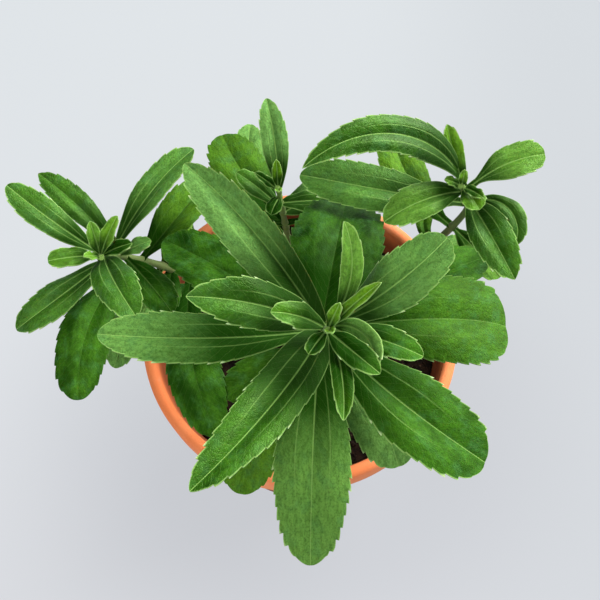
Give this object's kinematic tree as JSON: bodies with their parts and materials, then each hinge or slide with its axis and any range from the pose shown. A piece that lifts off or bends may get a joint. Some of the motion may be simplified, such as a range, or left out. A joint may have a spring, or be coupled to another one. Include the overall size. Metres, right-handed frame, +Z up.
{
  "type": "potted stevia plant",
  "caption": "Young stevia plant with opposite toothed leaves on slender stems, growing in a round terracotta pot filled with potting soil.",
  "frame": {"origin": "centre of the pot's underside, on the surface that the pot stands on", "axes": "+Z up along the pot's axis; -Y is the side that the longest front leaf hangs over; +X to the right seen from there"},
  "size_m": [0.1714, 0.1892, 0.2687],
  "materials": {
    "terracotta": "unglazed matte terracotta",
    "soil": "dark, rough potting soil",
    "leaf": "fresh green leaf with a soft sheen"
  },
  "bodies": {
    "root": {"pot": "terracotta", "soil": "soil", "stem_centre": "leaf", "stem_left": "leaf", "stem_right": "leaf", "stem_back": "leaf"}
  },
  "joints": []
}
